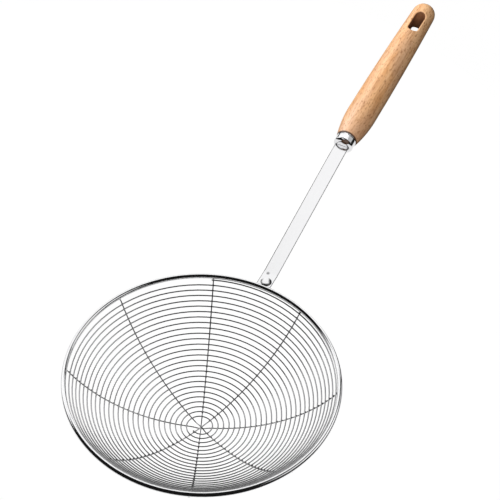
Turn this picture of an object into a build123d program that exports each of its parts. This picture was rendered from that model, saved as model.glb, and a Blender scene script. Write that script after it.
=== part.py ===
from build123d import *
import os
from math import asin, cos, radians, sin, sqrt

# Spider skimmer: a round wire basket on a long handle, for lifting food out of hot oil or water.
# Millimetres. The origin is the centre of the basket's mouth, in the plane of the rim wire.
# +Z points up out of the basket and the handle runs away along +Y.

# Rim: one thick round wire, bent to a ring.
rim_radius = 100.0
rim_wire = 3.8

# Ribs: four round wires, each running under the rim, down through the bottom of the bowl and up
# to the rim again. Their angles are in plan, from +X, and the handle sits midway between two.
bowl_depth = 58.0
rib_wire = 1.1
rib_bend_radius = 1.5
rib_tip_inside_edge = 1.3
rib_angles = [155.0, 68.5, 21.0, 111.5]
# Where the four cross, they lie on each other: one step above the bowl, level with it, one below
# and two below.
rib_levels = [1, 0, -1, -2]
# How far from the centre each rib starts to bend up or down to its place in the stack.
rib_joggle_reaches = [6.5, 0, 8.0, 12.0]
weld_gap = 0.1

# Spiral: one thin wire, laid on the ribs from the bottom of the bowl out to just below the rim.
# The half turns run from the second rib's lower end, and the last eighth of a turn ends on the fourth rib.
spiral_wire = 1.1
spiral_sides = 6
spiral_half_turns = 47
spiral_last_angle = 43.0
spiral_start_reach = 6.9
spiral_below_rim = 2.4
spiral_end_length = 1.0

# Handle bar: a flat strip whose foot lies level under the rim, then rises to the grip.
bar_width = 11.6
bar_thickness = 2.0
bar_edge_radius = 0.6
foot_lap = 1.0
foot_length = 16.8
foot_bend_radius = 9.0
bar_rise = 9.4
bar_length = 127.0
grip_rise = 2.3
grip_bend_radius = 60.0
bar_to_ferrule = 8.0
tang_width = 8.0
tang_length = 48.0
tang_fit = 0.15

# Ferrule: a pressed cap that the bar comes out of and the grip's neck sits in.
ferrule_length = 8.3
ferrule_front_radius = 6.6
ferrule_radius = 8.2
ferrule_rear_radius = 8.4
ferrule_shoulder = 3.4
ferrule_wall = 0.8
ferrule_fit = 0.1

# Grip: turned from one length of beech, widest near the ferrule, with a rounded end.
grip_length = 173.8
grip_front_radius = 8.7
grip_front_round = 0.7
grip_belly_radius = 12.3
grip_belly_place = 31.5
grip_tail_radius = 10.0
grip_dome_length = 9.8
joint_gap = 0.1

# Hanging slot: right through the grip, leaning a little from upright towards +X at the top.
slot_length = 25.0
slot_width = 8.4
slot_from_tip = 29.0
slot_lean = 8.5
slot_edge_round = 0.8

# Every cutter runs past what it cuts by this much.
overrun = 1.0

# The ribs' centreline lies on a sphere through the rim circle and the bottom of the bowl.
rib_sphere = (rim_radius**2 + bowl_depth**2) / (2 * bowl_depth)
sphere_height = rib_sphere - bowl_depth
# The spiral lies on the ribs, on the inside of the bowl.
spiral_sphere = rib_sphere - (rib_wire + spiral_wire) / 2 - weld_gap
crossing_step = rib_wire + weld_gap
rib_seat = -(rim_wire + rib_wire) / 2 - weld_gap


def rim_ring():
    return Torus(rim_radius, rim_wire / 2)


def biarc_joint(start, start_direction, end, end_direction):
    # The point where two arcs meet that share a tangent and leave both ends in the given directions.
    span = end - start
    both = start_direction + end_direction
    turn = 2 * (1 - start_direction.dot(end_direction))
    along = span.dot(both)
    reach = (sqrt(along**2 + turn * span.dot(span)) - along) / turn
    return (start + end + (start_direction - end_direction) * reach) / 2


def rib_half(level, joggle_reach):
    # Points and arcs of one half of a rib, in the XZ plane, from the bottom of the bowl to the tip.
    bend_reach = sqrt((rib_sphere + rib_bend_radius) ** 2 - (sphere_height - rib_seat + rib_bend_radius) ** 2)
    bend_centre = Vector(bend_reach, 0, rib_seat - rib_bend_radius)
    sphere_centre = Vector(0, 0, sphere_height)
    outward = (bend_centre - sphere_centre).normalized()
    bend_start = sphere_centre + outward * rib_sphere
    bend_top = Vector(bend_reach, 0, rib_seat)
    tip = Vector(rim_radius + rim_wire / 2 - rib_tip_inside_edge, 0, rib_seat)
    wall_direction = Vector(-outward.Z, 0, outward.X)
    bottom = Vector(0, 0, level * crossing_step - bowl_depth)
    edges = []
    if level == 0:
        edges.append(TangentArc(bottom, bend_start, tangent=(1, 0, 0)))
    else:
        slope = asin(joggle_reach / rib_sphere)
        joggle_end = Vector(joggle_reach, 0, sphere_height - rib_sphere * cos(slope))
        joggle_direction = Vector(cos(slope), 0, sin(slope))
        joint = biarc_joint(bottom, Vector(1, 0, 0), joggle_end, joggle_direction)
        first = TangentArc(bottom, joint, tangent=(1, 0, 0))
        edges.append(first)
        edges.append(TangentArc(joint, joggle_end, tangent=first % 1))
        edges.append(TangentArc(joggle_end, bend_start, tangent=joggle_direction))
    edges.append(TangentArc(bend_start, bend_top, tangent=wall_direction))
    edges.append(Line(bend_top, tip))
    return edges


def rib(angle, level, joggle_reach):
    half = rib_half(level, joggle_reach)
    other_half = [edge.mirror(Plane.YZ) for edge in half]
    path = Wire(half + other_half)
    tip = Vector(rim_radius + rim_wire / 2 - rib_tip_inside_edge, 0, rib_seat)
    section = Plane(tip, x_dir=(0, 1, 0), z_dir=(-1, 0, 0)) * Circle(rib_wire / 2)
    return Rot(0, 0, angle) * sweep(section, path=path)


def spiral_point(reach, angle):
    # A point of the bowl's inside at a distance along the bowl from its bottom, at an angle in plan.
    tilt = reach / spiral_sphere
    level = Vector(cos(radians(angle)), sin(radians(angle)), 0) * (spiral_sphere * sin(tilt))
    return level + Vector(0, 0, sphere_height - spiral_sphere * cos(tilt))


def spiral_path():
    # Half turns, each an arc about the middle of the chord between its ends. All the ends lie on one
    # line in plan, so that neighbouring arcs leave it square and run on smoothly.
    rim_reach = spiral_sphere * asin(rim_radius / rib_sphere)
    last_reach = rim_reach - spiral_below_rim
    pitch = (last_reach - spiral_start_reach) / (spiral_half_turns / 2 + spiral_last_angle / 360)
    first_angle = rib_angles[1] + 180
    edges = []
    ends = [
        spiral_point(spiral_start_reach + pitch * n / 2, first_angle + 180 * n)
        for n in range(spiral_half_turns + 2)
    ]
    for n in range(spiral_half_turns + 1):
        start = ends[n]
        end = ends[n + 1]
        middle = (start + end) / 2
        radius = (end - start).length / 2
        square = Vector(0, 0, 1).cross(start - middle).normalized()
        across = (start - middle).normalized()
        if n < spiral_half_turns:
            edges.append(ThreePointArc(start, middle + square * radius, end))
        else:
            turn = radians(spiral_last_angle)
            stop = middle + (across * cos(turn) + square * sin(turn)) * radius
            halfway = middle + (across * cos(turn / 2) + square * sin(turn / 2)) * radius
            edges.append(ThreePointArc(start, halfway, stop))
    lead_in = edges[0] @ 0 - (edges[0] % 0) * spiral_end_length
    lead_out = edges[-1] @ 1 + (edges[-1] % 1) * spiral_end_length
    edges.insert(0, Line(lead_in, edges[0] @ 0))
    edges.append(Line(edges[-1] @ 1, lead_out))
    return edges


def spiral():
    edges = spiral_path()
    path = Wire(edges)
    section = Plane(edges[0] @ 0, z_dir=edges[0] % 0) * RegularPolygon(spiral_wire / 2, spiral_sides)
    return sweep(section, path=path)


def grip_place():
    # The centre of the ferrule's front face, with +Y along the grip.
    foot_height = -(rim_wire + bar_thickness) / 2 - weld_gap
    rise = radians(bar_rise)
    tilt = radians(grip_rise)
    y = rim_radius + foot_length + bar_length * cos(rise) + bar_to_ferrule * cos(tilt)
    z = foot_height + bar_length * sin(rise) + bar_to_ferrule * sin(tilt)
    return Location((0, y, z), (grip_rise, 0, 0))


def handle_bar():
    foot_height = -(rim_wire + bar_thickness) / 2 - weld_gap
    rise = radians(bar_rise)
    foot_end = Vector(0, rim_radius - foot_lap, foot_height)
    bend = Vector(0, rim_radius + foot_length, foot_height)
    upper = bend + Vector(0, cos(rise), sin(rise)) * bar_length
    place = grip_place()
    end_depth = ferrule_wall + ferrule_fit
    end = (place * Location((0, end_depth, 0))).position
    path = FilletPolyline(foot_end, bend, upper, end, radius=[foot_bend_radius, grip_bend_radius])
    start = Plane(foot_end, x_dir=(1, 0, 0), z_dir=(0, 1, 0))
    section = start * RectangleRounded(bar_width, bar_thickness, bar_edge_radius)
    strip = sweep(section, path=path)
    tang = Pos(0, end_depth - overrun, 0) * Box(
        tang_width, tang_length + overrun, bar_thickness, align=(Align.CENTER, Align.MIN, Align.CENTER)
    )
    return strip + place * tang


def ferrule():
    # Half the cap's wall, radius against length, turned about the grip's axis.
    with BuildSketch() as wall:
        with BuildLine():
            outer_front = (ferrule_front_radius, 0)
            outer_shoulder = (ferrule_radius, ferrule_shoulder)
            outer_rear = (ferrule_rear_radius, ferrule_length)
            inner_rear = (ferrule_rear_radius - ferrule_wall, ferrule_length)
            inner_shoulder = (ferrule_radius - ferrule_wall, ferrule_shoulder)
            inner_front = (ferrule_front_radius - ferrule_wall, ferrule_wall)
            Line((0, 0), outer_front)
            TangentArc(outer_front, outer_shoulder, tangent=(1, 0))
            Line(outer_shoulder, outer_rear)
            Line(outer_rear, inner_rear)
            Line(inner_rear, inner_shoulder)
            Line(inner_shoulder, inner_front)
            Line(inner_front, (0, ferrule_wall))
            Line((0, ferrule_wall), (0, 0))
        make_face()
    cap = revolve(wall.sketch, axis=Axis.Y)
    mouth = Box(bar_width + 2 * tang_fit, 2 * (ferrule_wall + overrun), bar_thickness + 2 * tang_fit)
    return grip_place() * (cap - mouth)


def grip_profile():
    # The grip's half outline, radius against length, from the neck in the ferrule to the rounded end.
    neck_start = ferrule_wall + ferrule_fit
    neck_front = ferrule_front_radius - ferrule_wall - ferrule_fit
    neck_shoulder = ferrule_radius - ferrule_wall - ferrule_fit
    neck_rear = ferrule_rear_radius - ferrule_wall - ferrule_fit
    front = ferrule_length + joint_gap
    belly = front + grip_belly_place
    tip = front + grip_length
    tail = tip - grip_dome_length
    tail_slope = 2 * (grip_belly_radius - grip_tail_radius) / (tail - belly)
    front_slope = 2 * (grip_belly_radius - grip_front_radius) / grip_belly_place
    with BuildSketch() as outline:
        with BuildLine():
            Line((0, neck_start), (neck_front, neck_start))
            Line((neck_front, neck_start), (neck_shoulder, ferrule_shoulder))
            Line((neck_shoulder, ferrule_shoulder), (neck_rear, front))
            Line((neck_rear, front), (grip_front_radius - grip_front_round, front))
            TangentArc(
                (grip_front_radius - grip_front_round, front),
                (grip_front_radius, front + grip_front_round),
                tangent=(1, 0),
            )
            TangentArc(
                (grip_belly_radius, belly),
                (grip_front_radius, front + grip_front_round),
                tangent=(0, -1),
            )
            TangentArc((grip_belly_radius, belly), (grip_tail_radius, tail), tangent=(0, 1))
            Spline((grip_tail_radius, tail), (0, tip), tangents=[(-tail_slope, 1), (-1, 0)])
            Line((0, tip), (0, neck_start))
        make_face()
    return outline.sketch


def wooden_grip():
    body = revolve(grip_profile(), axis=Axis.Y)
    pocket = Pos(0, ferrule_wall, 0) * Box(
        tang_width + 2 * tang_fit,
        tang_length + tang_fit,
        bar_thickness + 2 * tang_fit,
        align=(Align.CENTER, Align.MIN, Align.CENTER),
    )
    slot_place = ferrule_length + joint_gap + grip_length - slot_from_tip
    # The slot is drawn under the grip, its long way along the axis, and cut up through it.
    lying = Rot(0, 0, 90) * SlotOverall(slot_length, slot_width)
    drawn = Pos(0, slot_place, -grip_belly_radius - overrun) * lying
    cutter = Rot(0, slot_lean, 0) * extrude(drawn, 2 * (grip_belly_radius + overrun))
    grip = body - pocket - cutter
    mouths = [
        edge
        for edge in grip.edges()
        if abs(edge.center().Y - slot_place) < slot_length
        and edge.center().X ** 2 + edge.center().Z ** 2 > slot_width**2
    ]
    return grip_place() * fillet(mouths, slot_edge_round)


def least_gap(edges):
    # The least gap between neighbouring turns of the spiral, from points all along it.
    points_per_edge = 12
    points = [edge @ (n / points_per_edge) for edge in edges[1:-1] for n in range(points_per_edge)]
    skip = points_per_edge
    return min(
        (points[i] - points[j]).length
        for i in range(len(points))
        for j in range(i + skip, min(i + 3 * skip, len(points)))
    )


parts = {
    "rim_ring": rim_ring(),
    "spiral_wire": spiral(),
    "handle_bar": handle_bar(),
    "ferrule": ferrule(),
    "wooden_grip": wooden_grip(),
}
for number, (angle, level, joggle_reach) in enumerate(zip(rib_angles, rib_levels, rib_joggle_reaches), 1):
    parts[f"rib_wire_{number}"] = rib(angle, level, joggle_reach)

os.makedirs("parts", exist_ok=True)
for name, solid in parts.items():
    solid.label = name
    export_step(solid, f"parts/{name}.step")
    print(name, "volume", round(solid.volume, 2), "solids", len(solid.solids()))

turns = spiral_path()
print("least gap between turns of the spiral", round(least_gap(turns) - spiral_wire, 2))
spiral_length = sum(edge.length for edge in turns)
print("spiral length", round(spiral_length))
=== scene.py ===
import random
from math import asin, cos, pi, radians, sin, sqrt, tan

import bpy
from mathutils import Matrix, Vector


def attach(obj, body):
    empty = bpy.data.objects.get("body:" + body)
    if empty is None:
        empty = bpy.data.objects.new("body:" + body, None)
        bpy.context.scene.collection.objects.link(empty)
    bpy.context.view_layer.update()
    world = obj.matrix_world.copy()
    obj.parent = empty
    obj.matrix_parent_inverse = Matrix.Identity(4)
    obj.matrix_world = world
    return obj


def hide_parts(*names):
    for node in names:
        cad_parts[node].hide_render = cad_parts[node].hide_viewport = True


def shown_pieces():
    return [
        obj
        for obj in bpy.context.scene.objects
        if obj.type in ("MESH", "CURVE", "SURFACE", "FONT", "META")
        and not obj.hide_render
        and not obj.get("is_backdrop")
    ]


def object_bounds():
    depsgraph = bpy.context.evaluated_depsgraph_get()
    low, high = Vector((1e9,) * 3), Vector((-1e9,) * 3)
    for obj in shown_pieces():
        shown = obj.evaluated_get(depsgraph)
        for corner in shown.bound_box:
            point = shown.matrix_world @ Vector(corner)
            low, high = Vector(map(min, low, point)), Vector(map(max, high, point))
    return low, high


# Spider skimmer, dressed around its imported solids. Metres, +Z up out of the basket, handle along +Y.

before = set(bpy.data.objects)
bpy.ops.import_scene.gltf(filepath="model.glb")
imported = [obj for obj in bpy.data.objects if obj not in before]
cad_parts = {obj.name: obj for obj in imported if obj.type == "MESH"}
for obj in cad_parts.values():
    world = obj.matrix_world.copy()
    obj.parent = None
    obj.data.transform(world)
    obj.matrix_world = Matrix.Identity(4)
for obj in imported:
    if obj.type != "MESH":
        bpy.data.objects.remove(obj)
cad_box = [list(corner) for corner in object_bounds()]

mm = 0.001

# Basket, as the solids have it: the ribs lie on a sphere through the rim and the bottom of the bowl.
rim_radius = 100 * mm
rim_wire = 3.8 * mm
bowl_depth = 58 * mm
rib_wire = 1.1 * mm
weld_gap = 0.1 * mm
rib_angles = [155, 68.5, 21, 111.5]
rib_joggle_reaches = [6.5 * mm, 0, 8 * mm, 12 * mm]
rib_sphere = (rim_radius**2 + bowl_depth**2) / (2 * bowl_depth)
sphere_height = rib_sphere - bowl_depth

# Spiral, with all of the turns that the photograph shows.
spiral_wire = 1.1 * mm
spiral_half_turns = 53
spiral_start_reach = 6.9 * mm
spiral_below_rim = 2.4 * mm
spiral_end_length = 1.0 * mm
spiral_sphere = rib_sphere - (rib_wire + spiral_wire) / 2 - weld_gap
spiral_first_angle = rib_angles[1] + 180
spiral_last_angle = 43
spiral_last_reach = spiral_sphere * asin(rim_radius / rib_sphere) - spiral_below_rim
spiral_pitch = (spiral_last_reach - spiral_start_reach) / (spiral_half_turns / 2 + spiral_last_angle / 360)

# Handle, as the solids have it, but for the foot's start, the crowned edges and the cap's rounder front.
bar_width = 11.6 * mm
bar_thickness = 2 * mm
bar_edge_round = 0.98 * mm
foot_start = rim_radius + 0.7 * mm
foot_length = 16.8 * mm
foot_bend_radius = 9 * mm
foot_height = -(rim_wire + bar_thickness) / 2 - weld_gap
bar_rise = radians(9.4)
bar_length = 127 * mm
grip_rise = radians(2.3)
grip_bend_radius = 60 * mm
bar_to_ferrule = 8 * mm
spot_weld_place = (0.5 * mm, 108.0 * mm)
spot_weld_radius = 4.4 * mm
spot_weld_depth = 0.45 * mm
heat_mark_place = (-1.9 * mm, 116.5 * mm)
heat_mark_core = 0.4 * mm
heat_mark_radius = 1.9 * mm
ferrule_length = 8.3 * mm
ferrule_front_radius = 6.6 * mm
ferrule_flat_radius = 3.6 * mm
ferrule_radius = 8.2 * mm
ferrule_rear_radius = 8.4 * mm
ferrule_shoulder = 3.4 * mm
ferrule_dome_length = 2.38 * mm
ferrule_wall = 0.8 * mm
ferrule_front_wall = 1.28 * mm
ferrule_lip = 0.35 * mm
mouth_play = 0.4 * mm
throat_place = (1.8 * mm, 1.3 * mm, 5.4 * mm)
throat_size = (3.4 * mm, 2.2 * mm, 2.2 * mm)
cap_along = rim_radius + foot_length + bar_length * cos(bar_rise) + bar_to_ferrule * cos(grip_rise)
cap_height = foot_height + bar_length * sin(bar_rise) + bar_to_ferrule * sin(grip_rise)
slot_from_cap = 153.2 * mm
slot_width = 8.4 * mm
slot_length = 25 * mm
slot_lean = radians(8.5)
# How far past the slot's edge its painted shade fades out.
slot_shade_depth = 0.4 * mm

# Welds, as half sizes of their drops: across the arm or foot, along it, and in height.
crossing_weld = (0.9 * mm, 0.8 * mm, 0.7 * mm)
rib_weld = (1.0 * mm, 1.4 * mm, 0.8 * mm)
foot_weld = (1.8 * mm, 0.8 * mm, 0.6 * mm)
foot_weld_reach = rim_radius + 1.5 * mm
foot_weld_aside = 0.3 * bar_width


# Shader sums


class Shade:
    """A value inside a material. A sum written with it adds Math nodes."""

    def __init__(self, finish, socket):
        self.finish = finish
        self.socket = socket

    def math(self, operation, first, second):
        return self.finish.node("ShaderNodeMath", {"operation": operation}, {0: first, 1: second})

    def __add__(self, other):
        return self.math("ADD", self, other)

    def __sub__(self, other):
        return self.math("SUBTRACT", self, other)

    def __rsub__(self, other):
        return self.math("SUBTRACT", other, self)

    def __mul__(self, other):
        return self.math("MULTIPLY", self, other)

    def __pow__(self, other):
        return self.math("POWER", self, other)

    __radd__ = __add__
    __rmul__ = __mul__


class Finish:
    """The nodes of one material or of the world, added one by one."""

    def __init__(self, tree):
        self.tree = tree

    def feed(self, socket, value):
        if isinstance(value, Shade):
            self.tree.links.new(value.socket, socket)
        else:
            socket.default_value = value

    def node(self, kind, settings, sockets, output=0):
        made = self.tree.nodes.new(kind)
        for name, value in settings.items():
            setattr(made, name, value)
        for name, value in sockets.items():
            self.feed(made.inputs[name], value)
        return Shade(self, made.outputs[output])

    def mix(self, mask, first, second):
        return self.node("ShaderNodeMix", {"data_type": "RGBA"}, {0: mask, 6: first, 7: second}, 2)

    def between(self, value, low, high):
        # 0 below low, 1 above high, smooth from one to the other.
        sockets = {"Value": value, "From Min": low, "From Max": high}
        return self.node("ShaderNodeMapRange", {"interpolation_type": "SMOOTHSTEP"}, sockets)

    def noise(self, place, scale, detail=3.0, roughness=0.55):
        sockets = {"Vector": place, "Scale": scale, "Detail": detail, "Roughness": roughness}
        return self.node("ShaderNodeTexNoise", {}, sockets)

    def bump(self, height, strength, distance):
        sockets = {"Height": height, "Strength": strength, "Distance": distance}
        return self.node("ShaderNodeBump", {}, sockets)


def new_material(name, **surface):
    material = bpy.data.materials.new(name)
    material.use_nodes = True
    finish = Finish(material.node_tree)
    principled = material.node_tree.nodes["Principled BSDF"]
    for socket, value in surface.items():
        finish.feed(principled.inputs[socket.replace("_", " ").title().replace("Ior", "IOR")], value)
    return material, finish, principled


def object_place(finish, scale=(1, 1, 1), turn=(0, 0, 0), shift=(0, 0, 0)):
    coordinates = finish.node("ShaderNodeTexCoord", {}, {}, "Object")
    sockets = {"Vector": coordinates, "Location": shift, "Rotation": turn, "Scale": scale}
    return finish.node("ShaderNodeMapping", {"vector_type": "TEXTURE"}, sockets)


def chrome(name, tone, polish, heat_mark=None):
    """Bright plate over drawn wire or pressed strip, with faint haze and fine waves under the plating.

    A heat mark is the place of a soft grey spot, as a spot weld leaves.
    """
    material, finish, principled = new_material(name, metallic=1.0)
    place = object_place(finish)
    haze = finish.noise(place, 260.0, 4.0)
    wave = finish.noise(place, 900.0, 2.0)
    dark = (tone * 0.93, tone * 0.93, tone * 0.94, 1)
    light = (tone, tone, tone * 1.01, 1)
    colour = finish.mix(haze, dark, light)
    if heat_mark:
        from_mark = object_place(finish, shift=heat_mark)
        away = finish.node("ShaderNodeVectorMath", {"operation": "LENGTH"}, {0: from_mark}, "Value")
        mark = 1 - finish.between(away, heat_mark_core, heat_mark_radius)
        colour = finish.mix(mark * 0.85, colour, (0.16, 0.16, 0.165, 1))
    finish.feed(principled.inputs["Base Color"], colour)
    finish.feed(principled.inputs["Roughness"], haze * 0.05 + polish)
    finish.feed(principled.inputs["Normal"], finish.bump(wave, 0.15, 0.00004))
    return material


def slot_painted_shade(finish):
    """A mask for painted shade: 1 on the walls of the hanging slot, where shade is painted darker into the
    wood, 0 on the rest of the grip.
    """
    middle = (0, cap_along + slot_from_cap * cos(grip_rise), cap_height + slot_from_cap * sin(grip_rise))
    place = object_place(finish, turn=(grip_rise, slot_lean, 0), shift=middle)
    across = finish.node("ShaderNodeSeparateXYZ", {}, {0: place}, "X")
    along = finish.node("ShaderNodeSeparateXYZ", {}, {0: place}, "Y")
    past = along.math("ABSOLUTE", along, 0) - (slot_length - slot_width) / 2
    past = past.math("MAXIMUM", past, 0)
    reach = (across * across + past * past) ** 0.5
    return 1 - finish.between(reach, slot_width / 2 + 0.1 * mm, slot_width / 2 + slot_shade_depth)


def beech():
    """Turned beech: soft bands of growth, fine fibres along the grip and short brown flecks."""
    material, finish, principled = new_material("beech", specular_ior_level=0.4)
    along = (grip_rise, 0, 0)
    bands = finish.noise(object_place(finish, (0.005, 0.11, 0.005), along), 1.0, 3.0)
    fibres = finish.noise(object_place(finish, (0.0011, 0.02, 0.0011), along), 1.0, 4.0, 0.65)
    flecks = finish.noise(object_place(finish, (0.0008, 0.0035, 0.0008), along), 1.0, 1.0)
    patches = finish.noise(object_place(finish, (0.012, 0.04, 0.012), along), 1.0, 2.0)
    axis = finish.node("ShaderNodeSeparateXYZ", {}, {0: object_place(finish)}, "Y")
    near_cap = 1 - finish.between(axis, cap_along + 8 * mm, cap_along + 52 * mm)
    joint = 1 - finish.between(axis, cap_along + 8.8 * mm, cap_along + 9.7 * mm)
    pale = (0.84, 0.50, 0.26, 1)
    mid = (0.68, 0.345, 0.145, 1)
    brown = (0.30, 0.115, 0.04, 1)
    rosy = (0.60, 0.36, 0.225, 1)
    base = finish.mix(finish.between(bands * 0.6 + fibres * 0.4, 0.40, 0.60), pale, mid)
    base = finish.mix(finish.between(patches, 0.42, 0.66) * 0.45, base, rosy)
    base = finish.mix(near_cap * 0.65, base, rosy)
    base = finish.mix(finish.between(fibres, 0.50, 0.70) * 0.48, base, brown)
    base = finish.mix(finish.between(flecks, 0.59, 0.67) * 0.8, base, brown)
    base = finish.mix(joint * 0.95, base, (0.045, 0.018, 0.007, 1))
    # Painted shade: the slot's walls are darkened to a deep brown, standing in for the shade inside the
    # slot.
    base = finish.mix(slot_painted_shade(finish) * 0.85, base, (0.17, 0.055, 0.022, 1))
    finish.feed(principled.inputs["Base Color"], base)
    finish.feed(principled.inputs["Roughness"], finish.between(fibres, 0.2, 0.8) * 0.12 + 0.44)
    finish.feed(principled.inputs["Normal"], finish.bump(fibres - flecks * 0.5, 0.25, 0.0001))
    return material


# Modelling helpers


def deselect():
    if bpy.context.mode != "OBJECT":
        bpy.ops.object.mode_set(mode="OBJECT")
    bpy.ops.object.select_all(action="DESELECT")


def join(pieces):
    deselect()
    for piece in pieces:
        piece.select_set(True)
    bpy.context.view_layer.objects.active = pieces[0]
    bpy.ops.object.join()
    return pieces[0]


def spin_on(steps, angle, centre, axis):
    """Draws the selected outline on through an arc, right-handed about the axis.

    The operator itself turns left-handed, so it gets the angle with its sign changed.
    """
    bpy.ops.mesh.spin(steps=steps, angle=-angle, center=centre, axis=axis)


def cut_away(piece, cutter):
    deselect()
    bpy.context.view_layer.objects.active = piece
    cut = piece.modifiers.new("cut", "BOOLEAN")
    cut.operation = "DIFFERENCE"
    cut.solver = "EXACT"
    cut.object = cutter
    bpy.ops.object.modifier_apply(modifier=cut.name)
    bpy.data.objects.remove(cutter)


def finish_piece(piece, name, material, slot, *nodes):
    """Names a modelled piece, places it in its mesh and lets it ride with the part."""
    deselect()
    piece.select_set(True)
    bpy.context.view_layer.objects.active = piece
    bpy.ops.object.transform_apply(location=True, rotation=True, scale=True)
    bpy.ops.object.shade_smooth_by_angle(angle=radians(40))
    level = piece.modifiers.new("level", "WEIGHTED_NORMAL")
    level.keep_sharp = True
    bpy.ops.object.modifier_apply(modifier=level.name)
    piece.name = name
    piece.data.name = name
    piece.data.materials.clear()
    piece.data.materials.append(material)
    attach(piece, "root")
    if nodes:
        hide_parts(*nodes)
    return piece


# Basket


def spiral_point(reach, angle):
    tilt = reach / spiral_sphere
    level = Vector((cos(radians(angle)), sin(radians(angle)), 0)) * (spiral_sphere * sin(tilt))
    return level + Vector((0, 0, sphere_height - spiral_sphere * cos(tilt)))


def spiral_turns():
    """Each half turn of the spiral as its start, the middle of its chord, its axis and its angle."""
    ends = [
        spiral_point(spiral_start_reach + spiral_pitch * n / 2, spiral_first_angle + 180 * n)
        for n in range(spiral_half_turns + 2)
    ]
    turns = []
    for n in range(spiral_half_turns + 1):
        middle = (ends[n] + ends[n + 1]) / 2
        across = ends[n] - middle
        square = Vector((0, 0, 1)).cross(across).normalized()
        angle = pi if n < spiral_half_turns else radians(spiral_last_angle)
        turns.append((ends[n], middle, across.cross(square).normalized(), angle))
    return turns


def wire_end(place, heading):
    """The round section of the thin wire, in edit mode, ready to be drawn out along the heading."""
    deselect()
    turned = heading.to_track_quat("Z", "Y").to_euler()
    bpy.ops.mesh.primitive_circle_add(vertices=10, radius=spiral_wire / 2, location=place, rotation=turned)
    bpy.ops.object.transform_apply(location=True, rotation=True, scale=True)
    bpy.ops.object.mode_set(mode="EDIT")
    bpy.ops.mesh.select_all(action="SELECT")
    return bpy.context.active_object


def straight_wire(start, stop):
    piece = wire_end(start, (stop - start).normalized())
    bpy.ops.mesh.extrude_region_move(TRANSFORM_OT_translate={"value": stop - start})
    return piece


def bent_wire(start, middle, axis, angle):
    piece = wire_end(start, axis.cross(start - middle).normalized())
    spin_on(max(8, round(40 * angle / pi)), angle, middle, axis)
    return piece


def wind_spiral(material):
    """The thin wire: half turns from the bottom of the bowl to the rim, and a short straight end at each."""
    turns = spiral_turns()
    lengths = [bent_wire(*turn) for turn in turns]
    start, middle, axis, _ = turns[0]
    heading = axis.cross(start - middle).normalized()
    lengths.append(straight_wire(start - heading * spiral_end_length, start))
    start, middle, axis, angle = turns[-1]
    stop = Matrix.Rotation(angle, 3, axis) @ (start - middle)
    heading = axis.cross(stop).normalized()
    lengths.append(straight_wire(middle + stop, middle + stop + heading * spiral_end_length))
    piece = join(lengths)
    bpy.ops.object.mode_set(mode="EDIT")
    bpy.ops.mesh.select_all(action="SELECT")
    bpy.ops.mesh.remove_doubles(threshold=0.05 * mm)
    bpy.ops.mesh.fill_holes(sides=0)
    bpy.ops.mesh.normals_make_consistent(inside=False)
    return finish_piece(piece, "spiral_wound", material, "wire_chrome", "spiral_wire")


def crossing_places():
    """Where the spiral lies on a rib arm, on the line between the two wires."""
    contact_sphere = rib_sphere - rib_wire / 2 - weld_gap / 2
    places = []
    for start, middle, axis, angle in spiral_turns():
        across = Vector((start.x - middle.x, start.y - middle.y))
        radius = across.length
        line = across.normalized()
        offset = middle.x * line.x + middle.y * line.y
        for rib_angle, joggle_reach in zip(rib_angles, rib_joggle_reaches):
            for side in (0, 180):
                arm = radians(rib_angle + side)
                direction = Vector((cos(arm), sin(arm)))
                past = (line.x * direction.y - line.y * direction.x, line.dot(direction))
                turned = radians(90) - asin(max(-1, min(1, past[1])))
                if past[0] < 0 or turned > angle:
                    continue
                plan_reach = offset * past[1] + sqrt(radius**2 - (offset * past[0]) ** 2)
                tilt = asin(plan_reach / spiral_sphere)
                if rib_sphere * tilt < joggle_reach:
                    continue
                level = direction * (contact_sphere * sin(tilt))
                places.append(Vector((level.x, level.y, sphere_height - contact_sphere * cos(tilt))))
    return places


def drops(name, material, places, size, segments=8, rings=6):
    """Drops of weld metal: a small flattened ball at each place, a little larger or smaller by chance."""
    chance = random.Random(11)
    made = []
    deselect()
    bpy.ops.mesh.primitive_uv_sphere_add(segments=segments, ring_count=rings, radius=1)
    first = bpy.context.active_object
    for place in places:
        deselect()
        first.select_set(True)
        bpy.context.view_layer.objects.active = first
        bpy.ops.object.duplicate()
        drop = bpy.context.active_object
        grow = chance.uniform(0.85, 1.15)
        arm = Vector((place.x, place.y)).angle_signed(Vector((1, 0)), 0)
        drop.location = place
        drop.rotation_euler = (0, 0, radians(90) + arm)
        drop.scale = [length * grow for length in size]
        made.append(drop)
    bpy.data.objects.remove(first)
    return finish_piece(join(made), name, material, "wire_chrome")


def weld_wires(crossing_material, rim_material):
    """The welds: spiral on ribs, ribs under the rim, and the handle's foot under the rim."""
    drops("ring_welds", crossing_material, crossing_places(), crossing_weld)
    under_rim = -rim_wire / 2 - weld_gap / 2
    arms = [radians(angle + side) for angle in rib_angles for side in (0, 180)]
    places = [Vector((rim_radius * cos(arm), rim_radius * sin(arm), under_rim)) for arm in arms]
    drops("rib_welds", rim_material, places, rib_weld, 12, 8)
    corners = [Vector((side * foot_weld_aside, foot_weld_reach, under_rim + weld_gap)) for side in (-1, 1)]
    drops("foot_welds", rim_material, corners, foot_weld, 16, 10)


# Handle


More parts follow.
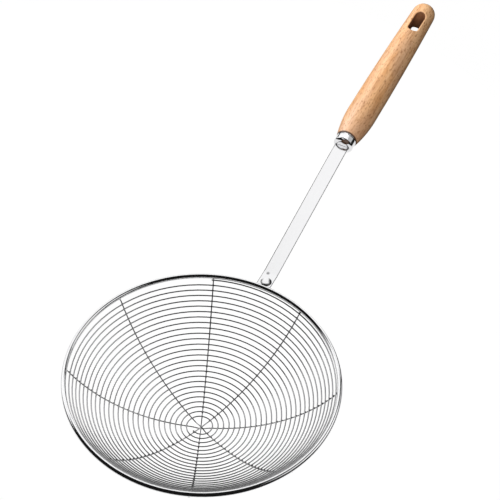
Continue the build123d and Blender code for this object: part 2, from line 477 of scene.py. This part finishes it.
def handle_bar(material):
    """The flat strip, drawn out from a section with crowned edges.

    It starts as the foot under the rim, bends up, and then bends level with the grip.
    """
    deselect()
    start = Vector((0, foot_start, foot_height))
    bpy.ops.mesh.primitive_plane_add(size=1, location=start, rotation=(radians(90), 0, 0))
    strip = bpy.context.active_object
    strip.scale = (bar_width, bar_thickness, 1)
    bpy.ops.object.transform_apply(location=True, rotation=True, scale=True)
    bpy.ops.object.mode_set(mode="EDIT")
    bpy.ops.mesh.select_all(action="SELECT")
    bpy.ops.mesh.bevel(offset=bar_edge_round, segments=10, profile=0.76, affect="VERTICES")
    foot_tangent = foot_bend_radius * tan(bar_rise / 2)
    grip_tangent = grip_bend_radius * tan((bar_rise - grip_rise) / 2)
    place = Vector((0, rim_radius + foot_length - foot_tangent, foot_height))
    bpy.ops.mesh.extrude_region_move(TRANSFORM_OT_translate={"value": place - start})
    spin_on(8, bar_rise, place + Vector((0, 0, foot_bend_radius)), (1, 0, 0))
    upward = Vector((0, cos(bar_rise), sin(bar_rise)))
    length = bar_length - foot_tangent - grip_tangent
    bpy.ops.mesh.extrude_region_move(TRANSFORM_OT_translate={"value": upward * length})
    place = Vector((0, rim_radius + foot_length, foot_height)) + upward * (bar_length - grip_tangent)
    centre = place + Vector((0, sin(bar_rise), -cos(bar_rise))) * grip_bend_radius
    spin_on(8, bar_rise - grip_rise, centre, (-1, 0, 0))
    level = Vector((0, cos(grip_rise), sin(grip_rise)))
    length = bar_to_ferrule - grip_tangent + ferrule_wall
    bpy.ops.mesh.extrude_region_move(TRANSFORM_OT_translate={"value": level * length})
    bpy.ops.mesh.select_all(action="SELECT")
    bpy.ops.mesh.fill_holes(sides=0)
    bpy.ops.mesh.normals_make_consistent(inside=False)
    top = foot_height + bar_thickness / 2
    press_dimple(strip, Vector((*spot_weld_place, top)), spot_weld_radius, spot_weld_depth)
    return finish_piece(strip, "flat_bar", material, "bar_chrome", "handle_bar")


def press_dimple(strip, place, radius, depth):
    """A shallow round hollow, as the electrode of a spot weld leaves."""
    ball = (radius**2 + depth**2) / (2 * depth)
    deselect()
    bpy.ops.mesh.primitive_uv_sphere_add(
        segments=256, ring_count=128, radius=ball, location=place + Vector((0, 0, ball - depth))
    )
    cut_away(strip, bpy.context.active_object)


def turned_piece(steps, segments):
    """A solid turned about the Y axis, from pairs of radius and place along the axis."""
    deselect()
    radius, along = steps[0]
    upright = (radians(90), 0, 0)
    bpy.ops.mesh.primitive_circle_add(
        vertices=segments, radius=radius, fill_type="NGON", location=(0, along, 0), rotation=upright
    )
    piece = bpy.context.active_object
    bpy.ops.object.transform_apply(location=True, rotation=True, scale=True)
    bpy.ops.object.mode_set(mode="EDIT")
    bpy.ops.mesh.select_all(action="SELECT")
    for next_radius, next_along in steps[1:]:
        bpy.ops.mesh.extrude_region_move(TRANSFORM_OT_translate={"value": (0, next_along - along, 0)})
        grow = next_radius / radius
        bpy.ops.transform.resize(value=(grow, 1, grow))
        radius, along = next_radius, next_along
    bpy.ops.mesh.select_all(action="SELECT")
    bpy.ops.mesh.normals_make_consistent(inside=False)
    bpy.ops.object.mode_set(mode="OBJECT")
    return piece


def ferrule_cap(material):
    """The pressed cap: a domed front with a mouth for the bar, a throat above it, and a rolled rear edge."""
    shoulder_steps = 10
    outside = [(ferrule_flat_radius, 0)]
    for n in range(1, shoulder_steps + 1):
        turn = radians(90) * n / shoulder_steps
        wide = ferrule_flat_radius + (ferrule_radius - ferrule_flat_radius) * sin(turn)
        outside.append((wide, ferrule_dome_length * (1 - cos(turn))))
    outside += [
        (ferrule_rear_radius - ferrule_lip, ferrule_length - 3 * ferrule_lip),
        (ferrule_rear_radius, ferrule_length - 2 * ferrule_lip),
        (ferrule_rear_radius, ferrule_length - ferrule_lip),
        (ferrule_rear_radius - ferrule_lip, ferrule_length),
    ]
    inside = [
        (ferrule_rear_radius - ferrule_wall, ferrule_length),
        (ferrule_radius - ferrule_wall, ferrule_shoulder),
        (ferrule_front_radius - ferrule_wall, ferrule_front_wall),
    ]
    cap = turned_piece(outside + inside, 64)
    deselect()
    bpy.ops.mesh.primitive_cube_add(size=1)
    mouth = bpy.context.active_object
    mouth.scale = (bar_width + mouth_play, 4 * ferrule_wall, bar_thickness + mouth_play)
    bpy.ops.object.transform_apply(location=True, rotation=True, scale=True)
    cut_away(cap, mouth)
    deselect()
    bpy.ops.mesh.primitive_uv_sphere_add(segments=32, ring_count=16, radius=1, location=throat_place)
    throat = bpy.context.active_object
    throat.scale = throat_size
    bpy.ops.object.transform_apply(location=True, rotation=True, scale=True)
    cut_away(cap, throat)
    cap.location = (0, cap_along, cap_height)
    cap.rotation_euler = (grip_rise, 0, 0)
    return finish_piece(cap, "pressed_cap", material, "ferrule_chrome", "ferrule")


# Stage


def add_camera():
    """The camera that took the photograph, fitted to the basket's rim."""
    turn, lift, roll = radians(23.34), radians(47.84), radians(3.01)
    back = Vector((sin(turn) * cos(lift), -cos(turn) * cos(lift), sin(lift)))
    level = Vector((cos(turn), sin(turn), 0))
    upright = back.cross(level)
    right = level * cos(roll) + upright * sin(roll)
    up = upright * cos(roll) - level * sin(roll)
    place = (right * 34.7 + up * 93.9 + back * 1302.7) * mm
    look = Matrix((right, up, back)).transposed().to_euler()
    bpy.ops.object.camera_add(location=place, rotation=look)
    camera = bpy.context.active_object
    # The photograph is 500 pixels wide and its focal length is 1800 of them.
    camera.data.sensor_width = 36
    camera.data.lens = 36 * 1800 / 500
    camera.data.clip_start = 0.05
    camera.data.clip_end = 50
    bpy.context.scene.camera = camera


def lit_only(lamp, *pieces):
    """The lamp, or the glowing floor, lights these pieces and no others."""
    group = bpy.data.collections.new(f"lit_by_{lamp.name}")
    for piece in pieces:
        group.objects.link(piece)
    lamp.light_linking.receiver_collection = group


def add_floor():
    """A white, glowing disc under the object. Past its edge the chrome mirrors the dark of the studio."""
    deselect()
    under = (-0.12, 0.14, cad_box[0][2] - 0.5 * mm)
    bpy.ops.mesh.primitive_circle_add(vertices=96, radius=0.36, fill_type="NGON", location=under)
    floor = bpy.context.active_object
    floor.name = "floor"
    bpy.ops.object.transform_apply(location=True, rotation=True, scale=True)
    material, finish, principled = new_material("floor_white", roughness=0.9, specular_ior_level=0.0)
    grain = finish.noise(object_place(finish), 3.0)
    paper = finish.mix(grain, (0.58, 0.58, 0.58, 1), (0.60, 0.60, 0.60, 1))
    finish.feed(principled.inputs["Base Color"], paper)
    finish.feed(principled.inputs["Emission Color"], (1, 1, 1, 1))
    finish.feed(principled.inputs["Emission Strength"], 1.0)
    floor.data.materials.append(material)
    floor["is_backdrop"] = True
    return floor


def add_softbox(name, direction, distance, size, glow, aim=(0, 0.1, 0)):
    """A rectangular soft light that faces the aim. Its glow is its brightness beside the floor's 1."""
    deselect()
    outward = Vector(direction).normalized()
    place = Vector(aim) + outward * distance
    turned = outward.to_track_quat("Z", "Y").to_euler()
    bpy.ops.object.light_add(type="AREA", location=place, rotation=turned)
    lamp = bpy.context.active_object
    lamp.name = name
    lamp.data.shape = "RECTANGLE"
    lamp.data.size, lamp.data.size_y = size
    lamp.data.energy = glow * pi * size[0] * size[1]
    return lamp


def add_world():
    world = bpy.data.worlds.new("studio")
    bpy.context.scene.world = world
    world.use_nodes = True
    finish = Finish(world.node_tree)
    sky = world.node_tree.nodes["Background"]
    seen = finish.node("ShaderNodeLightPath", {}, {}, "Is Camera Ray")
    finish.feed(sky.inputs["Color"], (1, 1, 1, 1))
    finish.feed(sky.inputs["Strength"], seen * 0.99 + 0.01)
    bpy.context.scene.view_settings.view_transform = "Standard"


add_camera()
floor = add_floor()
add_world()

# Soft lights: the way to each from what it lights, its distance, its width and height, and its glow.
back = add_softbox("back_softbox", (-0.60, 0.64, 0.48), 1.6, (3.8, 1.7), 1.3)
right = add_softbox("right_softbox", (0.66, 0.55, 0.46), 2.0, (1.6, 1.6), 0.6)
strip = add_softbox("strip_softbox", (-0.17, 0.50, 0.86), 1.6, (0.6, 1.0), 1.12)
mirror = add_softbox("mirror_softbox", (-0.27, -0.62, 0.74), 1.6, (0.7, 0.7), 1.2)
front = add_softbox("front_softbox", (0.45, -0.85, 0.36), 1.6, (2.8, 0.9), 1.0)
above = add_softbox("above_softbox", (0.0, -0.27, 0.96), 1.6, (1.2, 0.8), 0.9)
side = add_softbox("side_softbox", (0.61, 0.28, 0.74), 1.6, (1.5, 0.8), 1.0)
skirt = add_softbox("skirt_softbox", (0.2, 0.62, 0.76), 1.6, (1.1, 0.5), 1.2)
grip_middle = (0, 0.34, 0)
key = add_softbox("wood_key", (-0.75, 0.25, 0.62), 1.7, (1.4, 1.4), 7.4, grip_middle)
fill = add_softbox("wood_fill", (0.30, -0.75, 0.60), 1.7, (1.4, 1.4), 4.6, grip_middle)

wire_plate = chrome("wire_plate", 0.46, 0.08)
rim_plate = chrome("rim_plate", 0.78, 0.06)
bar_plate = chrome("bar_plate", 0.86, 0.12, (*heat_mark_place, foot_height + bar_thickness / 2))
rib_plate = chrome("rib_plate", 0.56, 0.08)
weld_plate = chrome("weld_plate", 0.08, 0.25)
wood = beech()

looks = {"rim_ring": rim_plate, "wooden_grip": wood}
for number in range(1, 5):
    looks[f"rib_wire_{number}"] = rib_plate
for name, material in looks.items():
    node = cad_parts[name]
    node.data.materials.clear()
    node.data.materials.append(material)

wind_spiral(wire_plate)
weld_wires(weld_plate, rim_plate)
bar = handle_bar(bar_plate)
cap = ferrule_cap(rim_plate)

# The wood has two lights of its own, and each kind of metal mirrors only the lights that it is given.
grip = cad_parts["wooden_grip"]
metal = [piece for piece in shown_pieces() if piece is not grip]
basket = [piece for piece in metal if piece not in (bar, cap)]
lit_only(key, grip)
lit_only(fill, grip)
lit_only(floor, *metal)
lit_only(back, *basket, cap)
lit_only(right, *basket, cap)
lit_only(strip, bar)
lit_only(mirror, bar, cap)
lit_only(front, bar)
lit_only(above, bar)
lit_only(side, *basket)
lit_only(skirt, cap)
